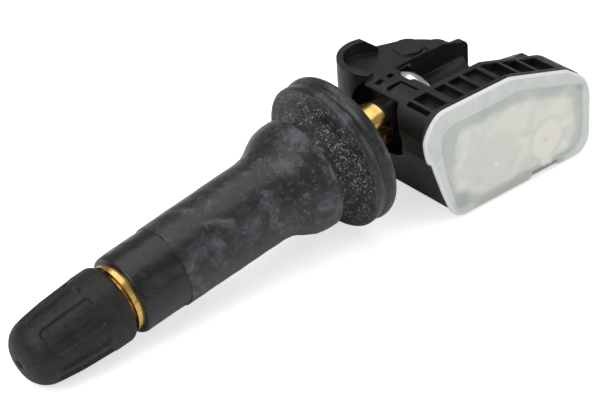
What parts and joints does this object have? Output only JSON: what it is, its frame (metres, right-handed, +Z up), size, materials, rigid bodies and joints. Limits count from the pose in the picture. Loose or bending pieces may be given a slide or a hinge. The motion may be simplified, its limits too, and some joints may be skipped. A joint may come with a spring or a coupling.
{
  "type": "tire pressure monitor",
  "caption": "Snap-in tyre pressure monitor: rubber valve with fluted screw cap on a brass stem, screwed to a black sensor housing with a translucent cover.",
  "frame": {"origin": "centre of the bounding box at its base, the surface the resting part stands on", "axes": "+X along the object from valve cap to sensor, +Y away from the housing's cover, +Z up in the resting pose"},
  "size_m": [0.0822, 0.0198, 0.0206],
  "materials": {
    "valve_cap": "very dark warm matt plastic with moulded flutes",
    "cap_seal": "soft black sealing washer",
    "valve_stem": "bright turned brass",
    "valve_rubber": "dark grey moulded rubber with a bluish bloom",
    "core_barrel": "turned brass",
    "core_gasket": "red sealing ring",
    "core_pin": "turned brass",
    "core_cup": "pressed brass",
    "core_cup_seal": "black sealing disc",
    "core_spring": "drawn spring wire",
    "sensor_housing": "satin black glass-filled plastic",
    "housing_cover": "milky translucent plastic",
    "potting_gel": "milky translucent potting",
    "circuit_board": "green laminate",
    "battery": "nickel-plated steel can",
    "battery_tab_top": "nickel strip",
    "battery_tab_bottom": "nickel strip",
    "lf_coil_core": "sintered ferrite",
    "lf_coil_winding": "enamelled copper wire",
    "rf_antenna": "tinned strip",
    "sensor_chip": "black moulded package",
    "port_gasket": "black silicone ring",
    "port_filter": "white porous membrane",
    "crystal": "plated can",
    "passives": "ceramic chips",
    "retaining_screw": "bright plated steel"
  },
  "bodies": {
    "sensor": {"valve_stem": "valve_stem", "valve_rubber": "valve_rubber", "core_barrel": "core_barrel", "core_gasket": "core_gasket", "core_spring": "core_spring", "sensor_housing": "sensor_housing", "housing_cover": "housing_cover", "potting_gel": "potting_gel", "circuit_board": "circuit_board", "battery": "battery", "battery_tab_top": "battery_tab_top", "battery_tab_bottom": "battery_tab_bottom", "lf_coil_core": "lf_coil_core", "lf_coil_winding": "lf_coil_winding", "rf_antenna": "rf_antenna", "sensor_chip": "sensor_chip", "port_gasket": "port_gasket", "port_filter": "port_filter", "crystal": "crystal", "passives": "passives", "retaining_screw": "retaining_screw"},
    "cap_washer": {"cap_seal": "cap_seal"},
    "cap": {"valve_cap": "valve_cap"},
    "core_plunger": {"core_pin": "core_pin", "core_cup": "core_cup", "core_cup_seal": "core_cup_seal"}
  },
  "joints": [
    {"name": "cap_travel", "type": "slide", "parent": "sensor", "child": "cap_washer", "axis": [-0.9874, 0, -0.1582], "range_m": [0, 0.009]},
    {"name": "cap_turn", "type": "hinge", "parent": "cap_washer", "child": "cap", "pos_m": [-0.0326, -0.00026, 0.00484], "axis": [-0.9874, 0, -0.1582], "range_deg": [0, 4081]},
    {"name": "core_press", "type": "slide", "parent": "sensor", "child": "core_plunger", "axis": [0.9874, 0, 0.1582], "range_m": [0, 0.0012], "stiffness_N_per_m": 500, "springref_m": -0.002, "deforming": ["core_spring"]}
  ],
  "couplings": [
    {"joint": "cap_turn", "follows": "cap_travel", "rad_per_m": 7913.3}
  ]
}
